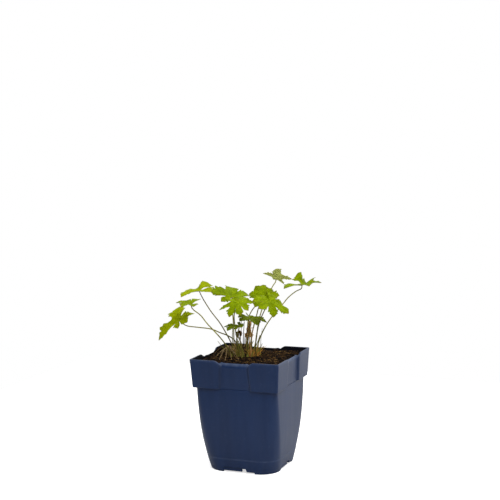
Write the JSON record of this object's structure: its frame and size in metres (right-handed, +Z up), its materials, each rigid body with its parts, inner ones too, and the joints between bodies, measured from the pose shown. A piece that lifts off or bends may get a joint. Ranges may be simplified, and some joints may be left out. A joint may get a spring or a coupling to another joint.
{
  "type": "potted young garden perennial",
  "caption": "Young leafy perennial with lobed, toothed leaves on thin stalks, planted in a square flared nursery pot with a deep rim band.",
  "frame": {"origin": "on the surface that the pot stands on, at the middle of the pot, which is the foot of the underside's central hub", "axes": "+Z up out of the pot, -Y towards the side of the pot that the picture shows most of, +X towards its right side"},
  "size_m": [0.1442, 0.1117, 0.1877],
  "materials": {
    "pot": "satin, thin moulded navy blue plastic",
    "soil": "crumbly dark potting compost",
    "straw": "dry straw coloured sheaths",
    "olive_sheath": "matt olive brown sheaths",
    "rust_sheath": "matt rust brown sheaths",
    "blade": "soft satin leaf, paler below",
    "petiole": "finely hairy green brown stalk",
    "dead_tan": "dry and matt",
    "dead_dark": "dry and matt"
  },
  "bodies": {
    "root": {"pot": "pot", "soil": "soil", "crown_straw": "straw", "crown_olive": "olive_sheath", "crown_rust": "rust_sheath", "blade_a": "blade", "petiole_a": "petiole", "blade_b": "blade", "petiole_b": "petiole", "blade_c": "blade", "petiole_c": "petiole", "blade_d": "blade", "petiole_d": "petiole", "blade_e": "blade", "petiole_e": "petiole", "blade_f": "blade", "petiole_f": "petiole", "blade_g": "blade", "petiole_g": "petiole", "blade_h": "blade", "petiole_h": "petiole", "blade_i": "blade", "petiole_i": "petiole", "blade_j": "blade", "petiole_j": "petiole", "blade_k": "blade", "petiole_k": "petiole", "blade_l": "blade", "petiole_l": "petiole", "dead_leaf_tan": "dead_tan", "dead_leaf_dark": "dead_dark"}
  },
  "joints": []
}
